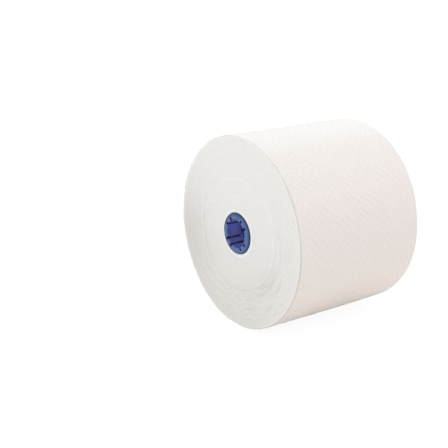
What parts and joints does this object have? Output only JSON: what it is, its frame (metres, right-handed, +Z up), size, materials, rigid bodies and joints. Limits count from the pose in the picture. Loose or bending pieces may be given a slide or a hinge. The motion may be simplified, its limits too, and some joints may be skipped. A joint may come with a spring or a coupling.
{
  "type": "toilet paper roll",
  "caption": "Roll of white embossed toilet tissue lying on its side, with a blue moulded plastic plug in each end of its bore.",
  "frame": {"origin": "on the floor, below the middle of the roll", "axes": "+Z up, +Y along the roll's axis towards its back end, so the end that the picture shows faces -Y"},
  "size_m": [0.124, 0.101, 0.1238],
  "materials": {
    "tissue": "matt embossed two-ply tissue",
    "blue_plastic": "satin moulded polypropylene"
  },
  "bodies": {
    "root": {"paper_roll": "tissue", "front_plug": "blue_plastic", "back_plug": "blue_plastic"}
  },
  "joints": []
}
